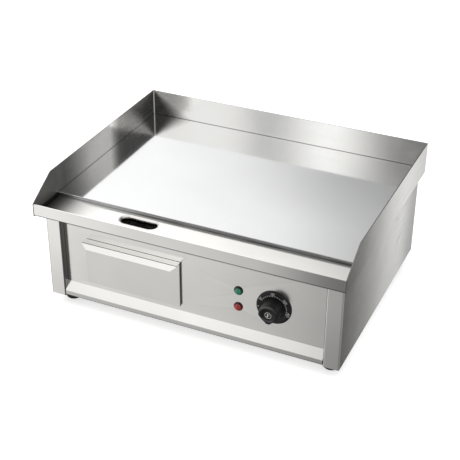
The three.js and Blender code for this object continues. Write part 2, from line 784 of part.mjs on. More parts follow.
// ---------- feet ----------
function foot(x, y) {
  const bore = SCREW_R + GAP;
  const recessR = 9;
  const recessTop = 8;
  const { bottomR, topR, height } = FOOT;
  const profile = [
    [bore, recessTop],
    [recessR, recessTop],
    [recessR, 0],
    [bottomR - 1.2, 0],
    [bottomR, 1.4],
    [topR, height - 2],
    [topR - 0.8, height],
    [bore, height],
    [bore, recessTop],
  ];
  return turned(profile, "z", [x, y], 18);
}

function footScrew(x, y) {
  const headTop = 7.7;
  const profile = [
    [0, headTop - 3.6],
    [5.6, headTop - 3.6],
    [7.2, headTop - 1.6],
    [7.2, headTop],
    [SCREW_R, headTop],
    [SCREW_R, 30],
    [0, 30],
  ];
  return turned(profile, "z", [x, y], 12);
}

// ---------- mains entry and wiring ----------
function cableGland() {
  const place = [GLAND.x, GLAND.z];
  const flange = BACK_FACE + GAP;
  const bodyR = 12.5;
  const profile = [
    [5, BACK_FACE - 10],
    [10, BACK_FACE - 10],
    [10, flange],
    [bodyR, flange],
    [bodyR, flange + 5],
    [bodyR - 0.8, flange + 5.6],
    [bodyR - 0.8, flange + 9],
    [9.5, flange + 14],
    [7, flange + 15.6],
    [5, flange + 15.6],
    [5, BACK_FACE - 10],
  ];
  return turned(profile, "y", place, 20);
}

function glandLockNut() {
  const inside = BACK_FACE - SHEET_T - GAP;
  const body = extrude(hexagon(26, GLAND.x, GLAND.z), "y", inside - 5, inside);
  return cut(body, rod(10.3, "y", [GLAND.x, GLAND.z], inside - 6, inside + 1));
}

const PAN_TOP = BODY_BOTTOM + GAP + SHEET_T; // upper face of the base pan's sheet

function terminalBlock() {
  const top = 46;
  const poleX = [160, 180, 200];
  const block = box([150, 210], [112, 138], [PAN_TOP + GAP, top]);
  const cuts = poleX.map((x) => rod(3.4, "z", [x, 118], top - 8, top + 1, 12));
  return cut(block, ...cuts);
}

function earthStud() {
  const base = PAN_TOP + GAP;
  const profile = [
    [0, base],
    [6, base],
    [6, base + 4],
    [2.5, base + 4],
    [2.5, base + 16],
    [0, base + 16],
  ];
  return turned(profile, "z", [110, 160], 12);
}

function liveLead() {
  const points = [
    [160, 111.4, 36],
    [160, 106, 36],
    [158, 86, 36],
    [150, 20, 36],
    [140, -80, 60],
    [139.2, -118, 103],
    [139.2, -132, 110.2],
    [139.2, -138.4, 110.2],
  ];
  return tube(points, LEAD.r, LEAD.steps, LEAD.sides);
}

function elementLead(side, terminalX) {
  const x = side * TUBE_FIRST_X;
  const points = [
    [x, 187, 131.6],
    [x, 187, 115],
    [x + 12, 184, 70],
    [terminalX - 10, 174, 40],
    [terminalX, 152, 34],
    [terminalX, 145, 34],
    [terminalX, 138.6, 34],
  ];
  return tube(points, LEAD.r, LEAD.steps, LEAD.sides);
}

function earthLead() {
  const points = [
    [199, 111.4, 36],
    [199, 106, 36],
    [190, 92, 40],
    [150, 92, 42],
    [118, 120, 42],
    [110, 150, 49],
    [110, 159, 48],
    [110, 160, 42],
    [110, 160, 38.2],
  ];
  return tube(points, LEAD.r, LEAD.steps, LEAD.sides);
}

// ---------- assembly ----------
add("left_side_panel", sidePanel(-1), brushedSteel);
add("right_side_panel", sidePanel(1), brushedSteel);
add("base_pan", basePan(), zincSteel);
add("front_panel", frontPanel(), brushedSteel);
add("back_panel", backPanel(), brushedSteel);
for (const [name, x, z] of backScrewPlaces()) add(`back_screw_${name}`, backScrew(x, z), zincSteel);

add("left_splash_guard", sideGuard(-1), brushedSteel);
add("right_splash_guard", sideGuard(1), brushedSteel);
add(
  "back_splash_guard",
  box([-INSIDE_HALF, INSIDE_HALF], [INSIDE_REAR, DEPTH / 2], [SKIRT_BOTTOM, HEIGHT]),
  brushedSteel,
);
add("grease_gutter", greaseGutter(), brushedSteel);
add("cooking_plate", cookingPlate(), polishedSteel);

add("left_heating_element", heatingElement(-1), elementSheath);
add("right_heating_element", heatingElement(1), elementSheath);
["front", "middle", "rear"].forEach((name, i) => {
  add(`${name}_clamp_bar`, clampBar(BAR_Y[i]), zincSteel);
  add(`${name}_left_clamp_nut`, clampNut(-STUD_X, BAR_Y[i]), zincSteel);
  add(`${name}_right_clamp_nut`, clampNut(STUD_X, BAR_Y[i]), zincSteel);
});
add("insulation_blanket", insulationBlanket(), mineralWool);
add("heat_shield", heatShield(), aluminisedSteel);
add("drip_chute", dripChute(), zincSteel);

add("thermostat_body", thermostatBody(), steatite);
add("dial_ring", dialRing(), blackPlastic);
add("thermostat_knob", knob(), blackPlastic);
add("thermostat_spindle", spindle(), zincSteel);
add("sensing_bulb", sensingBulb(), copper);
add("bulb_clip", bulbClip(), zincSteel);
add("capillary_tube", capillaryTube(), copper);
add("green_lamp_lens", lampLens(LAMP_Z.green), greenLens);
add("red_lamp_lens", lampLens(LAMP_Z.red), redLens);
add("green_lamp_body", lampBody(LAMP_Z.green), whiteNylon);
add("red_lamp_body", lampBody(LAMP_Z.red), whiteNylon);

add("drawer_front", drawerFront(), brushedSteel);
add("drawer_tray", drawerTray(), brushedSteel);
add("left_drawer_rail", drawerRail(-1), zincSteel);
add("right_drawer_rail", drawerRail(1), zincSteel);
add("drawer_rail_bracket", railBracket(), zincSteel);

for (const [name, x, y] of footPlaces()) {
  add(`${name}_foot`, foot(x, y), blackRubber);
  add(`${name}_foot_screw`, footScrew(x, y), zincSteel);
}

add("cable_gland", cableGland(), blackPlastic);
add("gland_lock_nut", glandLockNut(), blackPlastic);
add("terminal_block", terminalBlock(), steatite);
add("earth_stud", earthStud(), brass);
add("live_lead", liveLead(), brownLead);
add("right_element_lead", elementLead(1, 180), blueLead);
add("left_element_lead", elementLead(-1, 168), blueLead);
add("earth_lead", earthLead(), greenYellowLead);

export default griddle;
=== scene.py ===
"""Looks of the electric griddle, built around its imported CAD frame. Metres, +Z up, the front faces -Y."""

import json
import math

import bmesh
import bpy
from mathutils import Matrix, Vector


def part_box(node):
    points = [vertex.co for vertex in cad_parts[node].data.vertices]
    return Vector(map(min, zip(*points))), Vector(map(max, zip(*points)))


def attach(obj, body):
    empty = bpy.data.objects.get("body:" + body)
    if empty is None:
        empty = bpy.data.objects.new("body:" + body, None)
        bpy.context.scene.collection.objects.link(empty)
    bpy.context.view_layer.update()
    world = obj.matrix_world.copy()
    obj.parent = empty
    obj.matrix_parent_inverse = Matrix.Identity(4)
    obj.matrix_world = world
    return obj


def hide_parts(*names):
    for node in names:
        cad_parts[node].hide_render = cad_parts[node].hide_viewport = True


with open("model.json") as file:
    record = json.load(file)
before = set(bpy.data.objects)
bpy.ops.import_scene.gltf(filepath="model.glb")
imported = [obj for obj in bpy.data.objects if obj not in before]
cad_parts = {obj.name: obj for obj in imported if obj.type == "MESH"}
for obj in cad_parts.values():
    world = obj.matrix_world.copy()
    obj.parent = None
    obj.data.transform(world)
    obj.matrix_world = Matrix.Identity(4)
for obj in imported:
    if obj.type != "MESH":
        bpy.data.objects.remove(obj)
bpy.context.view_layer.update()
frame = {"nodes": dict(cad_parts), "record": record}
nodes = frame["nodes"]
mm = 0.001
WHITE = (1, 1, 1, 1)


def middle(node):
    """(x, z) of a node's centre, seen from the front."""
    low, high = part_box(node)
    return (low.x + high.x) / 2, (low.z + high.z) / 2


# Places taken from the frame: (x, z) of what stands on the front, then faces of the sheets.
KNOB = middle("thermostat_spindle")
LAMPS = {"green": middle("green_lamp_lens"), "red": middle("red_lamp_lens")}
DIAL_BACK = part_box("dial_ring")[1].y
DIAL_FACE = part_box("dial_ring")[0].y
GRIP_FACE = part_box("thermostat_knob")[0].y
GUARD_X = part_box("right_splash_guard")[0].x
GUARD_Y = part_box("back_splash_guard")[0].y
GUARD_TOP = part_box("back_splash_guard")[1].z
PLATE_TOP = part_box("cooking_plate")[1].z
PLATE_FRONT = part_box("cooking_plate")[0].y
APRON_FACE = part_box("grease_gutter")[0].y
GUTTER_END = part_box("grease_gutter")[1].x
SIDE_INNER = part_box("right_side_panel")[0].x
PANEL_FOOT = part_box("front_panel")[0].z
DRAWER_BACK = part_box("drawer_front")[1].y


# ---------- node-tree helper ----------
class Nodes:
    """Fills the node tree of a material or world. Most methods add a node and return its output socket."""

    def __init__(self, owner):
        self.owner = owner
        owner.use_nodes = True
        self.tree = owner.node_tree
        self.tree.nodes.clear()
        self.coordinate = None

    def add(self, kind, **settings):
        node = self.tree.nodes.new(kind)
        for key, value in settings.items():
            setattr(node, key, value)
        return node

    def put(self, socket, value):
        if hasattr(value, "is_output"):
            self.tree.links.new(value, socket)
        else:
            socket.default_value = value

    def place(self, scale=(1, 1, 1), turn=(0, 0, 0)):
        if self.coordinate is None:
            self.coordinate = self.add("ShaderNodeTexCoord").outputs["Object"]
        mapping = self.add("ShaderNodeMapping")
        mapping.inputs["Scale"].default_value = scale
        mapping.inputs["Rotation"].default_value = turn
        self.put(mapping.inputs["Vector"], self.coordinate)
        return mapping.outputs["Vector"]

    def noise(self, scale, detail=4, rough=0.5, stretch=(1, 1, 1), distortion=0.0, turn=(0, 0, 0)):
        node = self.add("ShaderNodeTexNoise")
        node.inputs["Scale"].default_value = scale
        node.inputs["Detail"].default_value = detail
        node.inputs["Roughness"].default_value = rough
        node.inputs["Distortion"].default_value = distortion
        self.put(node.inputs["Vector"], self.place(stretch, turn))
        return node.outputs["Fac"]

    def cells(self, scale, output="Distance", stretch=(1, 1, 1)):
        node = self.add("ShaderNodeTexVoronoi")
        node.inputs["Scale"].default_value = scale
        self.put(node.inputs["Vector"], self.place(stretch))
        return node.outputs[output]

    def spread(self, value, low, high, to_low=0.0, to_high=1.0, smooth=False):
        node = self.add("ShaderNodeMapRange")
        node.interpolation_type = "SMOOTHSTEP" if smooth else "LINEAR"
        self.put(node.inputs["Value"], value)
        for key, number in (("From Min", low), ("From Max", high), ("To Min", to_low), ("To Max", to_high)):
            self.put(node.inputs[key], number)
        return node.outputs["Result"]

    def maths(self, operation, a, b=0.0):
        node = self.add("ShaderNodeMath", operation=operation)
        self.put(node.inputs[0], a)
        self.put(node.inputs[1], b)
        return node.outputs[0]

    def product(self, first, *others):
        for value in others:
            first = self.maths("MULTIPLY", first, value)
        return first

    def total(self, first, *others):
        for value in others:
            first = self.maths("ADD", first, value)
        return first

    def mix(self, factor, a, b):
        node = self.add("ShaderNodeMix", data_type="RGBA")
        self.put(node.inputs["Factor"], factor)
        self.put(node.inputs["A"], a)
        self.put(node.inputs["B"], b)
        return node.outputs["Result"]

    def scaled(self, colour, value):
        node = self.add("ShaderNodeVectorMath", operation="SCALE")
        self.put(node.inputs[0], colour)
        self.put(node.inputs["Scale"], value)
        return node.outputs[0]

    def split(self, vector):
        node = self.add("ShaderNodeSeparateXYZ")
        self.put(node.inputs[0], vector)
        return node.outputs

    def bump(self, height, distance, strength=1.0, normal=None):
        node = self.add("ShaderNodeBump")
        node.inputs["Strength"].default_value = strength
        node.inputs["Distance"].default_value = distance
        self.put(node.inputs["Height"], height)
        if normal is not None:
            self.put(node.inputs["Normal"], normal)
        return node.outputs["Normal"]

    def edge(self, low, high):
        """1 on sharp convex edges, 0 elsewhere."""
        pointiness = self.add("ShaderNodeNewGeometry").outputs["Pointiness"]
        return self.spread(pointiness, low, high, smooth=True)

    def axis(self, letter):
        return self.split(self.place())[letter]

    def along(self, letter, start, end, at_start=0.0, at_end=1.0, smooth=False):
        """Runs from at_start to at_end between two places on an axis, and is level beyond them."""
        return self.spread(self.axis(letter), start, end, at_start, at_end, smooth)

    def facing(self, letter):
        """How squarely the surface faces along an axis: 0 across it, 1 square to it."""
        normal = self.add("ShaderNodeNewGeometry").outputs["True Normal"]
        return self.maths("ABSOLUTE", self.split(normal)[letter])

    def from_line(self, x, z):
        """Distance from a line along Y through (x, z)."""
        across = self.maths("SUBTRACT", self.axis("X"), x)
        up = self.maths("SUBTRACT", self.axis("Z"), z)
        return self.maths("SQRT", self.total(self.product(across, across), self.product(up, up)))

    def shader(self, values):
        """Ends a material with a Principled shader and returns the material."""
        node = self.add("ShaderNodeBsdfPrincipled")
        for key, value in values.items():
            self.put(node.inputs[key], value)
        self.put(self.add("ShaderNodeOutputMaterial").inputs["Surface"], node.outputs[0])
        return self.owner


def material(name):
    return Nodes(bpy.data.materials.new(name))


# ---------- camera, floor and light ----------
def make_camera():
    """The photo's camera: place, angles and lens come from a fit to the griddle's straight edges."""
    place = Vector((0.6723, -1.5188, 1.1060))
    yaw, pitch, roll = (math.radians(a) for a in (24.26, 31.0, 0.35))
    forward = Vector((-math.sin(yaw) * math.cos(pitch), math.cos(yaw) * math.cos(pitch), -math.sin(pitch)))
    right = Vector((math.cos(yaw), math.sin(yaw), 0))
    up = right.cross(forward)
    turned_right = right * math.cos(roll) + up * math.sin(roll)
    turned_up = up * math.cos(roll) - right * math.sin(roll)
    camera = bpy.data.objects.new("camera", bpy.data.cameras.new("camera"))
    camera.data.sensor_width = 36
    camera.data.lens = 85.74
    camera.data.clip_end = 60
    axes = Matrix((turned_right, turned_up, -forward)).transposed()
    camera.matrix_world = Matrix.Translation(place) @ axes.to_4x4()
    bpy.context.scene.collection.objects.link(camera)
    bpy.context.scene.camera = camera


def make_floor():
    """White paper that glows a little, so that the griddle's shadow on it stays faint."""
    half = 9.0
    corners = [(-half, -half, 0), (half, -half, 0), (half, half, 0), (-half, half, 0)]
    mesh = bpy.data.meshes.new("floor")
    mesh.from_pydata(corners, [], [(0, 1, 2, 3)])
    floor = bpy.data.objects.new("floor", mesh)
    floor.visible_glossy = False
    bpy.context.scene.collection.objects.link(floor)
    n = material("floor_paper")
    fibre = n.spread(n.noise(60, 3, 0.5), 0.3, 0.7, 0.955, 0.965)
    look = {
        "Base Color": n.scaled((1, 1, 1), fibre),
        "Roughness": 0.9,
        "Specular IOR Level": 0.1,
        "Emission Color": WHITE,
        "Emission Strength": 0.58,
    }
    mesh.materials.append(n.shader(look))


def make_backdrop():
    """A white paper sweep round the set. It only closes the view above the floor and lights nothing."""
    bm = bmesh.new()
    bmesh.ops.create_uvsphere(bm, u_segments=64, v_segments=32, radius=24.0)
    bmesh.ops.delete(bm, geom=[v for v in bm.verts if v.co.z < -3.0], context="VERTS")
    mesh = bpy.data.meshes.new("backdrop")
    bm.to_mesh(mesh)
    bm.free()
    backdrop = bpy.data.objects.new("backdrop", mesh)
    for ray in ("glossy", "diffuse", "transmission", "volume_scatter", "shadow"):
        setattr(backdrop, f"visible_{ray}", False)
    bpy.context.scene.collection.objects.link(backdrop)
    n = material("backdrop_paper")
    glow = n.spread(n.noise(0.4, 2, 0.5), 0.3, 0.7, 1.0, 1.04)
    look = {
        "Base Color": (0.9, 0.9, 0.9, 1),
        "Roughness": 0.9,
        "Emission Color": WHITE,
        "Emission Strength": glow,
    }
    mesh.materials.append(n.shader(look))


# The studio's panels in three bands of elevation, set for what the steel mirrors in the photo.
# Each stop is (azimuth from +Y towards +X in degrees, brightness).
BELOW = [
    (-180, 0.25), (-168, 0.16), (-163.5, 0.40), (-161.5, 0.46), (-159, 0.54), (-157, 0.62), (-153, 0.70),
    (-149.5, 0.80), (-147, 0.90), (-144, 1.04), (-134, 1.0), (-118, 0.6), (-96, 0.3), (-66, 0.28),
    (-40, 0.8), (-12, 0.7), (6, 0.5), (12.2, 0.50), (13.1, 0.66), (13.9, 1.30), (14.5, 0.90), (15.2, 0.36),
    (16.0, 0.15), (17.5, 0.04), (24, 0.06), (40, 0.5), (80, 0.3), (112, 0.22), (150, 0.4), (180, 0.25),
]
MIDDLE = [
    (-180, 0.4), (-167, 0.22), (-165, 0.24), (-163.8, 0.88), (-161.8, 1.48), (-160.4, 1.38), (-159, 0.72),
    (-157.8, 0.36), (-156.2, 1.22), (-154.4, 1.12), (-149.5, 1.3), (-110, 0.9), (-60, 0.8), (-37, 1.44),
    (-28, 1.34), (-24, 1.16), (-21, 0.89), (-18, 0.62), (-13, 0.41), (10, 0.2), (29.8, 0.02), (30.7, 0.9),
    (31.6, 2.0), (32.7, 0.5), (33.8, 0.05), (44, 0.2), (66, 0.8), (136, 0.7), (144, 1.8), (160, 2.0),
    (168, 0.6), (180, 0.4),
]
HIGH = [
    (-180, 0.5), (-168, 0.6), (-163, 0.80), (-160, 1.06), (-156, 1.22), (-146, 1.34), (-125, 1.2),
    (-95, 0.8), (-60, 1.0), (-38, 1.54), (-29, 1.44), (-24, 1.30), (-21, 1.18), (-18, 0.89), (-14, 0.60),
    (0, 0.32), (20, 0.15), (44, 0.15), (70, 0.7), (90, 0.9), (130, 0.6), (180, 0.5),
]
UNDERNEATH = 0.05
OVERHEAD = 1.12
BRIGHTEST = 2.0


def make_world():
    """A soft studio: bright and dim panels round the object, an overhead light, dark underneath."""
    n = Nodes(bpy.data.worlds.new("studio"))
    bpy.context.scene.world = n.owner
    x, y, z = n.split(n.add("ShaderNodeTexCoord").outputs["Generated"])
    around = n.total(n.maths("DIVIDE", n.maths("ARCTAN2", x, y), 2 * math.pi), 0.5)
    flat = n.maths("SQRT", n.total(n.product(x, x), n.product(y, y)))
    elevation = n.product(n.maths("ARCTAN2", z, flat), 180 / math.pi)

    def band(stops):
        ramp = n.add("ShaderNodeValToRGB")
        n.put(ramp.inputs["Fac"], around)
        elements = ramp.color_ramp.elements
        for azimuth, _ in stops[1:-1]:
            elements.new((azimuth + 180) / 360)
        for element, (azimuth, value) in zip(elements, stops):
            element.position = (azimuth + 180) / 360
            element.color = (value / BRIGHTEST, value / BRIGHTEST, value / BRIGHTEST, 1)
        return n.product(ramp.outputs["Color"], BRIGHTEST)

    def rising_to(above, below, start, end):
        """below, turning into above between two elevations in degrees."""
        risen = n.spread(elevation, start, end, smooth=True)
        return n.total(below, n.product(n.maths("SUBTRACT", above, below), risen))

    value = rising_to(band(BELOW), UNDERNEATH, -64, -40)
    value = rising_to(band(MIDDLE), value, -4, 14)
    value = rising_to(band(HIGH), value, 27.5, 31)
    value = rising_to(OVERHEAD, value, 42, 66)
    background = n.add("ShaderNodeBackground")
    n.put(background.inputs["Color"], (1.0, 0.998, 0.99, 1))
    n.put(background.inputs["Strength"], value)
    n.put(n.add("ShaderNodeOutputWorld").inputs["Surface"], background.outputs[0])


# ---------- sheet steel ----------
def stainless(name, grain, rough, level, waviness, shade=None, dull=None):
    """Bright sheet, fine grain along one axis. shade(n) multiplies its tone with painted shade, dull(n) makes
    it rougher.
    """
    n = material(name)
    stretch = [1.0, 1.0, 1.0]
    stretch["XYZ".index(grain)] = 0.015
    grain_fine = n.noise(2400, 3, 0.6, stretch)
    grain_coarse = n.noise(1300, 3, 0.55, stretch)
    clouds = n.spread(n.noise(9, 4, 0.5, distortion=0.3), 0.3, 0.7, -0.018, 0.018)
    smudges = n.spread(n.noise(22, 5, 0.6, distortion=1.0), 0.56, 0.78, smooth=True)
    streaks = n.spread(grain_fine, 0.3, 0.7, -0.02, 0.02)
    # Sharp convex edges get a painted highlight, 0.1 lighter.
    value = n.total(streaks, clouds, level, n.product(n.edge(0.52, 0.6), 0.1))
    if shade is not None:
        value = n.product(value, shade(n))
    roughness = n.spread(grain_coarse, 0.3, 0.7, rough - 0.015, rough + 0.02)
    roughness = n.total(roughness, n.product(smudges, 0.03))
    if dull is not None:
        roughness = n.total(roughness, n.product(dull(n), 0.3))
    normal = n.bump(n.noise(5.5, 2, 0.4), 0.0016, waviness)
    normal = n.bump(grain_fine, 0.000006, 0.5, normal)
    colour = n.scaled((1.0, 0.99, 0.965), value)
    return n.shader({"Base Color": colour, "Metallic": 1.0, "Roughness": roughness, "Normal": normal})


# The functions named _shade paint shade, shadow and reflection into the tone by place, and those named _dull
# paint roughness by place, to match the photo where the studio's reflections do not. They are no part of the
# steel itself. Places are in metres, tones multiply.
def tone_where(n, tone, *masks):
    """A multiplier that is tone where all the masks are 1, and 1 where any is 0."""
    return n.spread(n.product(*masks), 0.0, 1.0, 1.0, tone)


def cut_edges(n, letter, tone):
    """Painted shade on the sheared edges of a sheet that faces along the letter's axis: darker than its rolled
    faces.
    """
    return n.spread(n.facing(letter), 0.5, 0.85, tone, 1.0)


def plate_seam(n):
    """1 just above the plate's top, where the seam gets painted shade."""
    return n.along("Z", PLATE_TOP + 0.2 * mm, PLATE_TOP + 1.4 * mm, 1.0, 0.0)


def left_guard_inside(n):
    skin = n.along("X", -GUARD_X - 0.7 * mm, -GUARD_X - 0.2 * mm)
    return n.product(skin, n.along("X", -0.27, -0.26, 1.0, 0.0))


def beside_gutter(n):
    return n.along("Y", -0.165, -0.115, 1.0, 0.0, smooth=True)


def guard_side_dull(n):
    """Rougher on the left guard's inside, beside the gutter and towards the rear corner."""
    return n.product(left_guard_inside(n), n.total(beside_gutter(n), n.along("Y", 0.04, 0.10, 0.0, 0.6)))


def guard_side_shade(n):
    """Painted shade: dark cut edges; the left guard's inside darkens towards the front, the rear corner and the
    plate.
    """
    inside = left_guard_inside(n)
    lengthwise = n.along("Y", -0.11, -0.02, 0.60, 0.92, smooth=True)
    return n.product(
        cut_edges(n, "X", 0.26),
        n.spread(inside, 0.0, 1.0, 1.0, lengthwise),
        tone_where(n, 0.36, inside, n.along("Y", 0.04, 0.08, smooth=True)),
        tone_where(n, 0.75, inside, beside_gutter(n)),
        tone_where(n, 0.3, inside, plate_seam(n)),
    )


def guard_back_dull(n):
    """Rougher in the back guard's left corner."""
    return n.along("X", -0.25, -0.15, 0.6, 0.0, smooth=True)


def guard_back_shade(n):
    """Painted shade: dark cut edges, a dark seam along the plate and the left guard's painted shadow, a soft
    dark wedge in the left corner.
    """
    inside = n.along("Y", GUARD_Y + 0.2 * mm, GUARD_Y + 0.6 * mm, 1.0, 0.0)
    drop = n.maths("SUBTRACT", GUARD_TOP, n.axis("Z"))
    past = n.maths("SUBTRACT", n.total(n.axis("X"), GUARD_X), drop)
    softness = n.total(n.product(drop, 0.4), 2 * mm)
    wedge = n.spread(n.maths("DIVIDE", past, softness), -1.0, 2.2, 1.0, 0.0, smooth=True)
    return n.product(
        cut_edges(n, "Y", 0.45),
        tone_where(n, 0.12, inside, wedge),
        tone_where(n, 0.3, inside, plate_seam(n)),
    )


def side_panel_shade(n):
    """Painted shade: darker towards the ground and the rear, and in the narrow return behind the front flange.
    """
    from_centre = n.maths("ABSOLUTE", n.axis("X"))
    flange_return = n.spread(from_centre, SIDE_INNER + 1.4 * mm, SIDE_INNER + 1.8 * mm, 1.0, 0.0)
    return n.product(
        n.along("Z", 0.02, 0.16, 0.78, 1.0, smooth=True),
        n.along("Y", 0.10, 0.20, 1.0, 0.46, smooth=True),
        tone_where(n, 0.28, flange_return),
    )


def front_panel_shade(n):
    """Painted shade: darker close under the apron, along the ledge and lip, and towards both ends."""
    return n.product(
        n.along("Z", 0.07, 0.165, 0.99, 1.04, smooth=True),
        n.along("X", -0.23, 0.05, 0.86, 1.0),
        n.along("X", 0.11, 0.235, 1.0, 0.94),
        n.along("Z", 0.159, 0.165, 1.0, 0.6, smooth=True),
        n.along("Z", PANEL_FOOT + 24 * mm, PANEL_FOOT + 27 * mm, 0.95, 1.0, smooth=True),
        n.along("Z", PANEL_FOOT + 8 * mm, PANEL_FOOT + 9.5 * mm, 0.72, 1.0, smooth=True),
    )


def gutter_floor(n):
    return n.along("Y", APRON_FACE + 3 * mm, APRON_FACE + 5 * mm)


def gutter_dull(n):
    """Rougher on the gutter's floor, most at its left end."""
    return n.product(gutter_floor(n), n.along("X", -0.26, -0.14, 1.0, 0.15, smooth=True))


def gutter_shade(n):
    """Painted shade in the fold at the apron's foot, at both ends, along the plate and down the drip slot's
    collar.
    """
    apron = n.along("Y", APRON_FACE + 3.2 * mm, APRON_FACE + 1.8 * mm)
    floor = gutter_floor(n)
    ends = n.spread(n.maths("ABSOLUTE", n.axis("X")), GUTTER_END - 2.7 * mm, GUTTER_END)
    by_plate = n.along("Y", PLATE_FRONT - 4 * mm, PLATE_FRONT - 0.5 * mm)
    collar = n.along("Z", 0.1795, 0.1815, 0.15, 1.0, smooth=True)
    in_front = n.along("Y", APRON_FACE + 4.5 * mm, APRON_FACE + 3.5 * mm)
    return n.product(
        tone_where(n, 0.25, apron, n.along("Z", 0.1852, 0.1862, 1.0, 0.0)),
        tone_where(n, 0.25, ends, floor),
        tone_where(n, 0.45, by_plate, n.along("X", -0.26, -0.05, 0.3, 1.0)),
        tone_where(n, 0.15, n.along("X", -0.272, -0.222, 1.0, 0.0, smooth=True), floor),
        n.maths("MAXIMUM", collar, in_front),
        tone_where(n, 0.45, apron, n.along("X", 0.12, 0.272, smooth=True)),
    )


def drawer_shade(n):
    """Painted shade: darker to the left, on the pressed front's narrow side walls and inside the handle."""
    wall = n.along("Y", DRAWER_BACK - 4 * mm, DRAWER_BACK - 1 * mm, 0.85, 0.12)
    return n.product(n.along("X", -0.19, -0.04, 0.88, 1.04), n.spread(n.facing("X"), 0.5, 0.9, 1.0, wall))


def polished_plate():
    """The polished cooking surface: near mirror, faint crossed scratches, slow waves, a ground front face in
    painted shade.
    """
    n = material("polished_plate_steel")
    scratches_a = n.noise(1800, 2, 0.5, (1, 0.02, 1), turn=(0, 0, 0.35))
    scratches_b = n.noise(1800, 2, 0.5, (1, 0.02, 1), turn=(0, 0, -0.9))
    clouds = n.noise(5, 3, 0.5, distortion=0.6)
    polished = n.total(n.spread(clouds, 0.3, 0.7, 0.69, 0.725), n.spread(scratches_a, 0.4, 0.7, -0.01, 0.01))
    front_face = n.along("Y", PLATE_FRONT + 0.5 * mm, PLATE_FRONT + 0.9 * mm, 1.0, 0.0)
    front_face = n.product(n.facing("Y"), front_face)
    # The ground front face's grinding lines carry painted shade and reflection, lighter towards the left end.
    lines = n.spread(n.noise(900, 2, 0.5, (0.02, 1, 1)), 0.35, 0.65, 0.16, 0.34)
    ground_lines_and_shade = n.product(lines, n.along("X", -0.26, -0.05, 2.2, 1.0))
    level = n.total(n.product(polished, n.maths("SUBTRACT", 1.0, front_face)), n.product(front_face, ground_lines_and_shade))
    rough = n.total(
        n.spread(scratches_b, 0.45, 0.75, 0.07, 0.10),
        n.spread(clouds, 0.3, 0.7, 0.0, 0.02),
        n.product(front_face, 0.25),
    )
    normal = n.bump(n.noise(3.5, 2, 0.4), 0.0014, 0.4)
    normal = n.bump(scratches_a, 0.000006, 0.5, normal)
    colour = n.scaled((0.985, 0.99, 1.0), level)
    return n.shader({"Base Color": colour, "Metallic": 1.0, "Roughness": rough, "Normal": normal})


def plated(name, colour_a, colour_b, rough, spangle=120):
    """Zinc plate, aluminised sheet, brass or copper: a fine crystalline mottle over the metal."""
    n = material(name)
    crystals = n.split(n.cells(spangle, output="Color"))["X"]
    mottle = n.noise(60, 4, 0.6)
    colour = n.mix(n.total(n.product(crystals, 0.45), n.product(mottle, 0.55)), colour_a, colour_b)
    roughness = n.spread(mottle, 0.3, 0.7, rough - 0.06, rough + 0.1)
    normal = n.bump(n.noise(700, 3, 0.6), 0.00003, 0.5)
    return n.shader({"Base Color": colour, "Metallic": 1.0, "Roughness": roughness, "Normal": normal})


# ---------- plastics, rubber, glass and the rest ----------
def moulded(name, colour, rough, pale=None):
    """Moulded plastic: eroded texture, slight tone drift and paler edges. pale(n) marks places painted greyer
    as painted highlights.
    """
    n = material(name)
    drift = n.noise(40, 4, 0.6)
    light = tuple(min(1.0, c * 1.4 + 0.006) for c in colour) + (1,)
    base = n.mix(n.spread(drift, 0.3, 0.75, 0, 0.55), colour + (1,), light)
    base = n.mix(n.product(n.edge(0.53, 0.66), 0.35), base, light)
    if pale is not None:
        base = n.mix(pale(n), base, (0.085, 0.085, 0.084, 1))
    look = {
        "Base Color": base,
        "Roughness": n.spread(drift, 0.3, 0.7, rough - 0.05, rough + 0.08),
        "Normal": n.bump(n.noise(2600, 2, 0.5), 0.00003, 0.6),
        "Specular IOR Level": 0.3,
    }
    return n.shader(look)


def grip_painted_highlights(n):
    """Painted highlights: the photo's two grey crescents, on the grip's front rim, upper left, and at the foot
    of its dish.
    """
    x, z = KNOB
    away = n.from_line(x, z)

    def ring(inner_start, inner_end, outer_start, outer_end):
        inner = n.spread(away, inner_start * mm, inner_end * mm, smooth=True)
        return n.product(inner, n.spread(away, outer_start * mm, outer_end * mm, 1.0, 0.0, smooth=True))

    rim = n.product(
        ring(13.8, 15.8, 16.4, 17.6),
        n.along("Z", z + 4 * mm, z + 13 * mm, 0.0, 0.9, smooth=True),
        n.along("Y", GRIP_FACE + 3 * mm, GRIP_FACE + 6 * mm, 1.0, 0.0),
        n.along("X", x + 2 * mm, x + 11 * mm, 1.0, 0.2, smooth=True),
    )
    low = n.along("Z", z - 10 * mm, z - 4 * mm, 0.5, 0.0, smooth=True)
    dish = n.product(ring(8.8, 10.0, 10.8, 12.2), low)
    return n.maths("MAXIMUM", rim, dish)


def rubber():
    n = material("foot_rubber_black")
    dust = n.spread(n.noise(90, 5, 0.65), 0.5, 0.8, smooth=True)
    base = n.mix(n.product(dust, 0.5), (0.007, 0.007, 0.007, 1), (0.026, 0.025, 0.023, 1))
    rough = n.spread(n.noise(300, 3, 0.6), 0.3, 0.7, 0.62, 0.85)
    normal = n.bump(n.noise(1500, 3, 0.6), 0.00006, 0.6)
    return n.shader({"Base Color": base, "Roughness": rough, "Normal": normal})


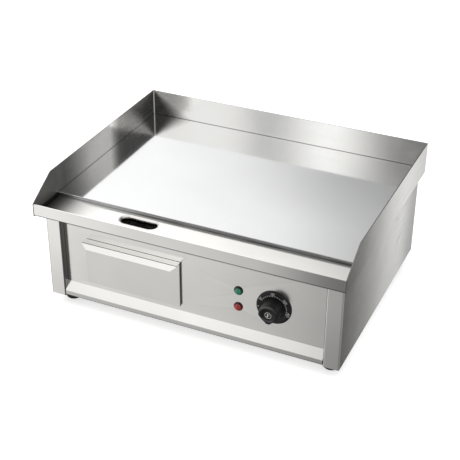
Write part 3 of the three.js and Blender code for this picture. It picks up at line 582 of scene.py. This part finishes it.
def lens(name, centre, deep, bright):
    """Tinted lamp lens: bright streaks seen through the dome as painted light, and painted shade nearly black
    towards its rim.
    """
    n = material(name)
    streaks = n.noise(900, 2, 0.5, (1, 1, 0.28), 0.6)
    facets = n.cells(520)
    glow = n.product(
        n.spread(streaks, 0.36, 0.60, 0.35, 1.0, smooth=True),
        n.spread(facets, 0, 0.7, 1.0, 0.5),
        n.spread(n.from_line(*centre), 4.8 * mm, 7.3 * mm, 1.0, 0.08, smooth=True),
    )
    look = {
        "Base Color": n.mix(glow, deep, bright),
        "Roughness": n.spread(streaks, 0.3, 0.7, 0.07, 0.16),
        "Normal": n.bump(facets, 0.0002, 0.5),
        "Coat Weight": 0.5,
        "Coat Roughness": 0.06,
        "Specular IOR Level": 0.5,
    }
    return n.shader(look)


def felt():
    n = material("mineral_wool_felt")
    fibres = n.noise(420, 6, 0.75, (1, 0.25, 1), 1.5)
    lumps = n.noise(45, 4, 0.6)
    look = {
        "Base Color": n.mix(fibres, (0.60, 0.53, 0.36, 1), (0.86, 0.81, 0.68, 1)),
        "Roughness": n.spread(lumps, 0.3, 0.7, 0.88, 1.0),
        "Normal": n.bump(n.total(fibres, lumps), 0.001, 0.8),
        "Sheen Weight": 0.3,
    }
    return n.shader(look)


def ceramic():
    n = material("steatite_ceramic")
    specks = n.spread(n.cells(900), 0.0, 0.2, 1.0, 0.0)
    tone = n.noise(60, 4, 0.6)
    base = n.mix(tone, (0.80, 0.77, 0.69, 1), (0.90, 0.88, 0.82, 1))
    base = n.mix(n.product(specks, 0.25), base, (0.55, 0.50, 0.42, 1))
    rough = n.spread(tone, 0.3, 0.7, 0.5, 0.7)
    return n.shader({"Base Color": base, "Roughness": rough, "Normal": n.bump(tone, 0.0001, 0.6)})


def sheath():
    """Heating element sheath: brown-grey oxide in patches over dark steel."""
    n = material("element_sheath_oxide")
    heat = n.spread(n.noise(22, 4, 0.6, distortion=0.8), 0.35, 0.65, smooth=True)
    look = {
        "Base Color": n.mix(heat, (0.16, 0.13, 0.11, 1), (0.30, 0.26, 0.22, 1)),
        "Metallic": 0.9,
        "Roughness": n.spread(n.noise(200, 3, 0.6), 0.3, 0.7, 0.38, 0.6),
        "Normal": n.bump(n.noise(800, 3, 0.6), 0.00005, 0.6),
    }
    return n.shader(look)


def lead(name, colour):
    n = material(name)
    braid = n.cells(900, stretch=(1, 1, 0.6))
    base = n.mix(n.spread(braid, 0.0, 0.6, 0.25, 0.0), colour + (1,), tuple(c * 0.5 for c in colour) + (1,))
    rough = n.spread(braid, 0, 0.6, 0.5, 0.7)
    return n.shader({"Base Color": base, "Roughness": rough, "Normal": n.bump(braid, 0.0001, 0.5)})


def printed_white():
    n = material("printed_white_ink")
    patchy = n.noise(900, 4, 0.6)
    base = n.mix(patchy, (0.50, 0.50, 0.49, 1), (0.66, 0.66, 0.64, 1))
    rough = n.spread(patchy, 0.3, 0.7, 0.45, 0.6)
    return n.shader({"Base Color": base, "Roughness": rough, "Normal": n.bump(patchy, 0.00001, 0.4)})


def weld_metal():
    n = material("ground_weld_bead")
    ripple = n.noise(700, 3, 0.6, (1, 1, 0.5))
    look = {
        "Base Color": n.mix(ripple, (0.60, 0.59, 0.55, 1), (0.86, 0.85, 0.80, 1)),
        "Metallic": 0.75,
        "Roughness": n.spread(ripple, 0.3, 0.7, 0.32, 0.5),
        "Normal": n.bump(ripple, 0.0002, 0.7),
    }
    return n.shader(look)


# ---------- mesh helpers ----------
def ring_round(bm, centre, y, radii, start=0.0):
    """A ring of vertices round a line along Y through centre = (x, z), one for each radius."""
    step = 2 * math.pi / len(radii)
    ring = []
    for i, radius in enumerate(radii):
        a = start + i * step
        ring.append(bm.verts.new((centre[0] + radius * math.cos(a), y, centre[1] + radius * math.sin(a))))
    return ring


def skin(bm, rings, capped=True):
    """Faces from each ring to the next, and across the two ends if capped."""
    for one, two in zip(rings, rings[1:]):
        for i in range(len(one)):
            j = (i + 1) % len(one)
            bm.faces.new((one[i], one[j], two[j], two[i]))
    if capped:
        bm.faces.new(rings[0])
        bm.faces.new(rings[-1])


def new_piece(name, bm, look, body):
    bmesh.ops.recalc_face_normals(bm, faces=bm.faces)
    mesh = bpy.data.meshes.new(name)
    bm.to_mesh(mesh)
    bm.free()
    piece = bpy.data.objects.new(name, mesh)
    bpy.context.scene.collection.objects.link(piece)
    mesh.materials.append(look)
    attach(piece, body)
    return piece


def turned(profile, centre, segments):
    """A skin turned about a line along Y through centre = (x, z). The profile is (radius, y) pairs."""
    bm = bmesh.new()
    skin(bm, [ring_round(bm, centre, y, [radius] * segments) for radius, y in profile], capped=False)
    return bm


def smooth_piece(piece, angle):
    """Smooth shading with sharp creases kept at folds steeper than the angle."""
    limit = math.radians(angle)
    bm = bmesh.new()
    bm.from_mesh(piece.data)
    for edge in bm.edges:
        if len(edge.link_faces) == 2:
            edge.smooth = edge.calc_face_angle(0) < limit
    for face in bm.faces:
        face.smooth = True
    bm.to_mesh(piece.data)
    bm.free()


def bevel(piece, width, angle=40):
    modifier = piece.modifiers.new("bevel", "BEVEL")
    modifier.width = width
    modifier.segments = 2
    modifier.limit_method = "ANGLE"
    modifier.angle_limit = math.radians(angle)
    modifier.harden_normals = False


# ---------- carried-over CAD nodes ----------
BLACK = (0.005, 0.005, 0.0055)


def looks_by_slot():
    green_glass = (0.002, 0.020, 0.012, 1), (0.02, 0.30, 0.18, 1)
    red_glass = (0.06, 0.003, 0.002, 1), (0.50, 0.03, 0.015, 1)
    return {
        "brushed_steel": stainless("brushed_steel_grain_x", "X", rough=0.14, level=0.7, waviness=0.4),
        "polished_plate": polished_plate(),
        "zinc_steel": plated("bright_zinc", (0.50, 0.51, 0.50, 1), (0.72, 0.73, 0.72, 1), 0.34),
        "foot_rubber": rubber(),
        "element_sheath": sheath(),
        "mineral_wool": felt(),
        "aluminised_sheet": plated("aluminised_steel", (0.45, 0.46, 0.46, 1), (0.66, 0.67, 0.68, 1), 0.45, 260),
        "steatite": ceramic(),
        "black_plastic": moulded("black_moulding", BLACK, 0.36),
        "copper": plated("plain_copper", (0.62, 0.32, 0.18, 1), (0.78, 0.46, 0.30, 1), 0.34),
        "green_lens": lens("green_lens_tint", LAMPS["green"], *green_glass),
        "red_lens": lens("red_lens_tint", LAMPS["red"], *red_glass),
        "white_nylon": moulded("white_nylon_moulding", (0.78, 0.77, 0.72), 0.5),
        "brass": plated("turned_brass", (0.62, 0.50, 0.22, 1), (0.80, 0.68, 0.36, 1), 0.32),
        "brown_lead": lead("brown_lead_sleeve", (0.20, 0.09, 0.05)),
        "blue_lead": lead("blue_lead_sleeve", (0.05, 0.14, 0.42)),
        "earth_lead_green": lead("earth_lead_sleeve", (0.28, 0.46, 0.06)),
    }


def looks_by_node():
    side = stainless("side_panel_grain_y", "Y", 0.09, 0.70, 0.1, side_panel_shade)
    guard_side = stainless("guard_grain_y", "Y", 0.08, 0.67, 0.1, guard_side_shade, guard_side_dull)
    guard_back = stainless("guard_grain_x", "X", 0.08, 0.90, 0.12, guard_back_shade, guard_back_dull)
    return {
        "left_side_panel": side,
        "right_side_panel": side,
        "left_splash_guard": guard_side,
        "right_splash_guard": guard_side,
        "back_splash_guard": guard_back,
        "front_panel": stainless("front_panel_grain_x", "X", 0.18, 0.78, 0.35, front_panel_shade),
        "drawer_front": stainless("drawer_grain_x", "X", 0.16, 0.70, 0.35, drawer_shade),
        "grease_gutter": stainless("gutter_grain_x", "X", 0.13, 0.74, 0.5, gutter_shade, gutter_dull),
    }


def finish_cad_nodes(by_slot):
    by_node = looks_by_node()
    slot_of = {s["node"]: s["material_slot"] for s in frame["record"]["subparts"]}
    for name, node in nodes.items():
        node.data.materials.clear()
        node.data.materials.append(by_node.get(name, by_slot[slot_of[name]]))
    for name in ("left_splash_guard", "right_splash_guard", "back_splash_guard", "cooking_plate"):
        bevel(nodes[name], 0.3 * mm)
    bevel(nodes["drawer_front"], 0.25 * mm)
    for name in ("left_side_panel", "right_side_panel", "front_panel", "back_panel", "grease_gutter"):
        bevel(nodes[name], 0.2 * mm, angle=60)


# ---------- thermostat dial and its print ----------
SCALE_RADIUS = 22.7 * mm
NUMBER_RADIUS = 26.3 * mm
FIRST_DOT, DOT_STEP, DOTS = 119, 11, 16
INK = 0.03 * mm

SEGMENTS = {"0": "abcdef", "1": "bc", "2": "abged", "3": "abgcd", "5": "afgcd"}


def dial(black):
    """The dial's flat disc with a rounded outer edge and a shallow step round the grip."""
    back = [(6, 0), (29.6, 0), (30, 0.3)]
    face = [
        (30, 1.5), (29.7, 0.9), (29.0, 0.45), (27.8, 0.12), (26.6, 0), (21.9, 0), (21.5, 0.12), (20.9, 0.1),
        (6, 0.1),
    ]
    profile = [(radius * mm, DIAL_BACK - y * mm) for radius, y in back]
    profile += [(radius * mm, DIAL_FACE + y * mm) for radius, y in face]
    profile.append(profile[0])
    piece = new_piece("thermostat_dial_plate", turned(profile, KNOB, 128), black, "chassis")
    smooth_piece(piece, 30)
    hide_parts("dial_ring")


def on_dial(radius, angle):
    """Point on the dial: the angle runs clockwise from the bottom, seen from the front."""
    a = math.radians(angle)
    return KNOB[0] - radius * math.sin(a), KNOB[1] - radius * math.cos(a)


def flat_outline(bm, points, y, depth):
    """A thin raised shape: an outline in XZ at y, given a slight thickness towards the front."""
    face = bm.faces.new([bm.verts.new((x, y, z)) for x, z in points])
    moved = bmesh.ops.extrude_face_region(bm, geom=[face])["geom"]
    for vertex in (v for v in moved if isinstance(v, bmesh.types.BMVert)):
        vertex.co.y -= depth


def disc(centre, radius, count=16):
    turns = (2 * math.pi * i / count for i in range(count))
    return [(centre[0] + radius * math.cos(a), centre[1] + radius * math.sin(a)) for a in turns]


def digit(bm, character, radius, angle, height, y):
    """A printed numeral of short bars, upright when read from the dial's centre outwards."""
    centre = on_dial(radius, angle)
    half_w, half_h, bar = height * 0.27, height * 0.5, height * 0.16
    ends = {
        "a": ((-half_w, half_h), (half_w, half_h)),
        "b": ((half_w, half_h), (half_w, 0)),
        "c": ((half_w, 0), (half_w, -half_h)),
        "d": ((-half_w, -half_h), (half_w, -half_h)),
        "e": ((-half_w, 0), (-half_w, -half_h)),
        "f": ((-half_w, half_h), (-half_w, 0)),
        "g": ((-half_w, 0), (half_w, 0)),
    }
    tilt = math.radians(180 - angle)
    cos, sin = math.cos(tilt), math.sin(tilt)
    for segment in SEGMENTS[character]:
        start, end = (Vector(point) for point in ends[segment])
        along = (end - start).normalized() * bar * 0.5
        side = Vector((-along.y, along.x))
        corners = [start - along + side, end + along + side, end + along - side, start - along - side]
        placed = [(centre[0] + c.x * cos - c.y * sin, centre[1] + c.x * sin + c.y * cos) for c in corners]
        flat_outline(bm, placed, y, INK)


def dial_print(ink):
    """Sixteen dots, every fifth a little larger, and the numbers from 0 to 300 outside them."""
    bm = bmesh.new()
    y = DIAL_FACE - 0.005 * mm
    for i in range(DOTS):
        radius = 0.95 * mm if i % 5 == 0 else 0.80 * mm
        flat_outline(bm, disc(on_dial(SCALE_RADIUS, FIRST_DOT + DOT_STEP * i), radius), y, INK)
    numeral_step = 6.2
    for i, text in enumerate(("50", "100", "200", "300")):
        first = FIRST_DOT + 5 * DOT_STEP * i - numeral_step * (len(text) - 1) / 2
        for k, character in enumerate(text):
            digit(bm, character, NUMBER_RADIUS, first + k * numeral_step, 3.0 * mm, y)
    digit(bm, "0", NUMBER_RADIUS, 84, 2.6 * mm, y)
    new_piece("dial_scale_print", bm, ink, "chassis")


# ---------- knob grip and its mark ----------
GRIP_RADIUS = 17.4
FLAT_DISTANCE = 14.6
FLAT_START = 5


def grip_radius(radius, angle, rise, depth):
    """Outline of the grip at one station, in mm: round above, two flats below, two bumps at its foot."""
    r = radius
    if depth > FLAT_START:
        blend = min(1.0, (depth - FLAT_START) / 2.5)
        soft = 0.45
        for flat in (-133.5, -46.5):
            off = math.cos(math.radians(angle - flat))
            if off > 0.5:
                limit = (FLAT_DISTANCE - (GRIP_RADIUS - min(radius, GRIP_RADIUS)) * 0.9) / off
                if limit < r + soft:
                    mixed = limit if limit < r - soft else r - (r + soft - limit) ** 2 / (4 * soft)
                    r += (mixed - r) * blend
    for bump in (-97.5, -82.5):
        off = (angle - bump + 180) % 360 - 180
        r += rise * math.exp(-((off / 4.2) ** 2))
    return r


def grip(look):
    """The moulded grip, foot to dished tip. Its stations are (radius, distance, rise of the bumps) in mm."""
    foot = DIAL_FACE - 0.6 * mm
    shaft = [
        (8.0, -0.2, 0), (19.2, -0.2, 1.2), (19.5, 0.2, 1.6), (19.3, 1.2, 1.7), (18.8, 2.6, 1.7),
        (18.5, 4.8, 1.6), (18.4, 6.2, 0.9), (18.2, 7.4, 0.1), (18.0, 9, 0), (17.8, 12, 0), (17.6, 15, 0),
    ]
    tip = [
        (17.4, 5), (17.2, 3.4), (16.8, 2.1), (16.2, 1.1), (15.3, 0.4), (14.2, 0.05), (12.9, 0.02),
        (11.8, 0.2), (10.9, 0.75), (10.2, 1.4), (9.4, 1.75), (8.0, 1.95), (4.0, 2.15),
    ]
    stations = [(radius, foot - away * mm, rise) for radius, away, rise in shaft]
    stations += [(radius, GRIP_FACE + away * mm, 0) for radius, away in tip]
    bm = bmesh.new()
    count = 144
    rings = []
    for radius, y, rise in stations:
        radii = [radius] * count
        if radius >= 13.5:
            depth = (foot - y) / mm
            radii = [grip_radius(radius, 360 * i / count - 180, rise, depth) for i in range(count)]
        rings.append(ring_round(bm, KNOB, y, [r * mm for r in radii], start=-math.pi))
    skin(bm, rings)
    piece = new_piece("thermostat_knob_grip", bm, look, "knob")
    smooth_piece(piece, 50)
    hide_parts("thermostat_knob")


def knob_pictogram(ink):
    """A plain thermometer in a ring: bulb, stem and three ticks, in mm from the knob's centre."""
    bm = bmesh.new()
    y = GRIP_FACE + 2.12 * mm

    def raised(points, depth=0.08):
        flat_outline(bm, [(KNOB[0] + x * mm, KNOB[1] + z * mm) for x, z in points], y, depth * mm)

    def rectangle(left, right, low, high):
        raised([(left, low), (right, low), (right, high), (left, high)])

    for start in (0, 180):
        turns = [math.radians(start + 10 * i) for i in range(19)]
        arc = [(5.6 * math.cos(a), 5.6 * math.sin(a)) for a in turns]
        arc += [(5.1 * math.cos(a), 5.1 * math.sin(a)) for a in reversed(turns)]
        raised(arc, depth=0.09)
    middle_x, stem_top, half_stem = -0.9, 3.0, 0.55
    raised(disc((middle_x, -2.2), 1.2, 24))
    rectangle(middle_x - half_stem, middle_x + half_stem, -1.6, stem_top)
    raised(disc((middle_x, stem_top), half_stem))
    for tick in (0.2, 1.6, 3.0):
        rectangle(0.7, 2.3, tick - 0.22, tick + 0.22)
    new_piece("knob_thermometer_mark", bm, ink, "knob")


# ---------- pilot lamps ----------
def lamp(colour, by_slot):
    """A pilot lamp: a thin dark bezel round a fluted, domed lens, in mm from the bezel's back."""
    centre = LAMPS[colour]
    bezel = [
        (6.9, 0), (7.75, 0), (7.9, 0.15), (7.9, 0.7), (7.75, 0.95), (7.45, 1.05), (7.15, 0.95), (7.0, 0.7),
    ]
    profile = [(r * mm, DIAL_BACK - out * mm) for r, out in bezel + bezel[:1]]
    black = by_slot["black_plastic"]
    ring = new_piece(f"{colour}_lamp_bezel", turned(profile, centre, 96), black, "chassis")
    smooth_piece(ring, 40)
    bm = bmesh.new()
    count, flutes = 112, 14
    waves = [0.5 + 0.5 * math.cos(flutes * 2 * math.pi * i / count) for i in range(count)]
    stations = [
        (7.05, 0, 0), (7.05, 1.2, 0.2), (6.7, 2.3, 0.3), (5.9, 3.4, 0.3), (4.6, 4.4, 0.2), (3.2, 5.0, 0.1),
        (1.5, 5.3, 0.02),
    ]
    rings = []
    for radius, out, flute in stations:
        radii = [(radius - flute * wave) * mm for wave in waves]
        rings.append(ring_round(bm, centre, DIAL_BACK - out * mm, radii))
    skin(bm, rings)
    dome = new_piece(f"{colour}_lamp_dome", bm, by_slot[f"{colour}_lens"], "chassis")
    smooth_piece(dome, 60)
    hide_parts(f"{colour}_lamp_lens")


# ---------- corner welds ----------
def corner_weld(side, towards, metal):
    """A ground fillet bead up a rear inside corner; towards is the sign of X pointing out of it."""
    low, high = PLATE_TOP + 0.2 * mm, GUARD_TOP - 0.6 * mm
    steps = 44
    bm = bmesh.new()
    rings = []
    for k in range(steps + 1):
        z = low + (high - low) * k / steps
        leg = 1.3 * mm * (1 + 0.10 * math.sin(k * 1.9) + 0.06 * math.sin(k * 0.7 + 1))
        outline = [(0, 0), (leg, 0), (leg * 0.62, leg * 0.24), (leg * 0.24, leg * 0.62), (0, leg)]
        rings.append([bm.verts.new((towards * (a - GUARD_X), GUARD_Y - b, z)) for a, b in outline])
    skin(bm, rings)
    piece = new_piece(f"rear_{side}_corner_weld", bm, metal, "chassis")
    smooth_piece(piece, 50)


def add_details(by_slot):
    ink = printed_white()
    dial(by_slot["black_plastic"])
    dial_print(ink)
    grip(moulded("black_grip_moulding", BLACK, 0.36, pale=grip_painted_highlights))
    knob_pictogram(ink)
    for colour in LAMPS:
        lamp(colour, by_slot)
    metal = weld_metal()
    corner_weld("left", 1, metal)
    corner_weld("right", -1, metal)


looks = looks_by_slot()
finish_cad_nodes(looks)
add_details(looks)
make_camera()
make_floor()
make_backdrop()
make_world()

scene = bpy.context.scene
scene.view_settings.view_transform = "Standard"
